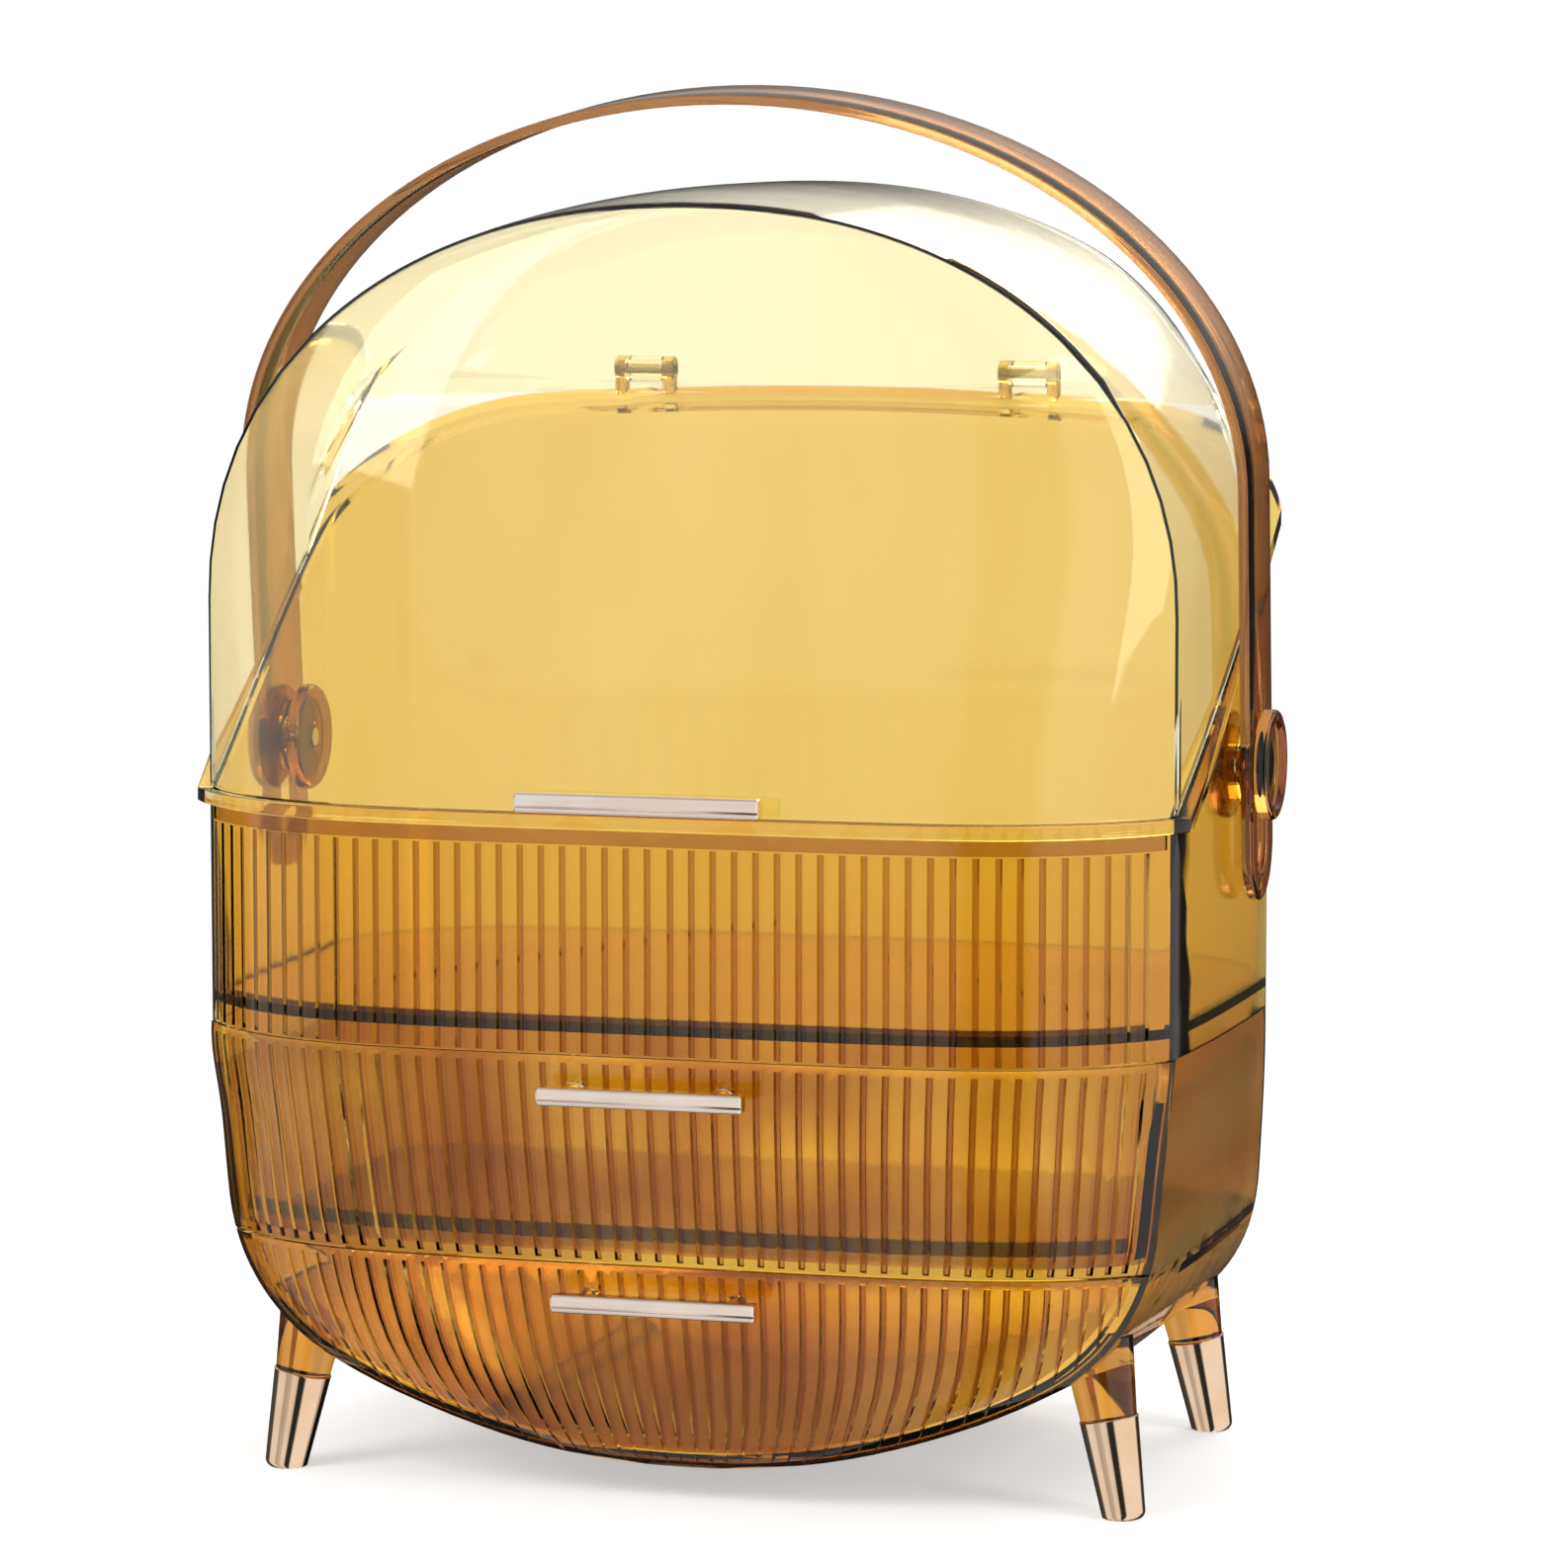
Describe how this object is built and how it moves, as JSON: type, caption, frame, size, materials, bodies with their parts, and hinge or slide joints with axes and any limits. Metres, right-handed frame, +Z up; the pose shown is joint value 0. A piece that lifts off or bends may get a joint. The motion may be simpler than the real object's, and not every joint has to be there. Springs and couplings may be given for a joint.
{
  "type": "makeup organizer",
  "caption": "Free-standing makeup organizer: arched hinged lid over a slanted open bin, fluted bowed drawers below, swinging carrying handle and splayed tipped legs.",
  "frame": {"origin": "middle of the footprint, on the surface that the feet stand on", "axes": "+X to the object's right seen from the front, +Y to the back, +Z up"},
  "size_m": [0.3176, 0.2208, 0.4098],
  "materials": {
    "amber_plastic": "clear amber, moulded gloss",
    "brown_plastic": "clear brown amber, moulded gloss",
    "clear_plastic": "clear pale yellow, polished",
    "rose_gold": "plated rose gold, satin gloss",
    "steel": "plain steel"
  },
  "bodies": {
    "case_body": {"case_shell": "brown_plastic", "drawer_shelf": "brown_plastic", "upper_tub": "amber_plastic", "hinge_pin_left": "steel", "hinge_pin_right": "steel", "leg_front_left": "amber_plastic", "leg_front_right": "amber_plastic", "leg_rear_left": "amber_plastic", "leg_rear_right": "amber_plastic", "leg_tip_front_left": "rose_gold", "leg_tip_front_right": "rose_gold", "leg_tip_rear_left": "rose_gold", "leg_tip_rear_right": "rose_gold"},
    "lid": {"cover": "clear_plastic", "cover_pull": "rose_gold"},
    "pivots": {"pivot_hub_left": "brown_plastic", "outer_cap_left": "brown_plastic", "inner_cap_left": "brown_plastic", "pivot_screw_left": "steel", "pivot_hub_right": "brown_plastic", "outer_cap_right": "brown_plastic", "inner_cap_right": "brown_plastic", "pivot_screw_right": "steel"},
    "handle": {"handle_strap": "brown_plastic"},
    "top_drawer": {"upper_drawer": "amber_plastic", "upper_pull": "rose_gold", "upper_pull_screws": "steel"},
    "bottom_drawer": {"lower_drawer": "amber_plastic", "lower_pull": "rose_gold", "lower_pull_screws": "steel"}
  },
  "joints": [
    {"name": "cover_hinge", "type": "hinge", "parent": "case_body", "child": "lid", "pos_m": [0, 0.10639, 0.32112], "axis": [-1, 0, 0], "range_deg": [0, 50]},
    {"name": "handle_swing", "type": "hinge", "parent": "case_body", "child": "pivots", "pos_m": [0, 0.01269, 0.2122], "axis": [-1, 0, 0], "range_deg": [0, 57.6]},
    {"name": "handle_lift", "type": "slide", "parent": "pivots", "child": "handle", "axis": [0, -0.0872, 0.9962], "range_m": [0, 0.0251]},
    {"name": "upper_drawer_slide", "type": "slide", "parent": "case_body", "child": "top_drawer", "axis": [0, -1, 0], "range_m": [0, 0.12]},
    {"name": "lower_drawer_slide", "type": "slide", "parent": "case_body", "child": "bottom_drawer", "axis": [0, -1, 0], "range_m": [0, 0.12]}
  ],
  "couplings": [
    {"joint": "handle_swing", "follows": "cover_hinge", "ratio": 1.15},
    {"joint": "handle_lift", "follows": "cover_hinge", "m_per_rad": 0.0286}
  ]
}
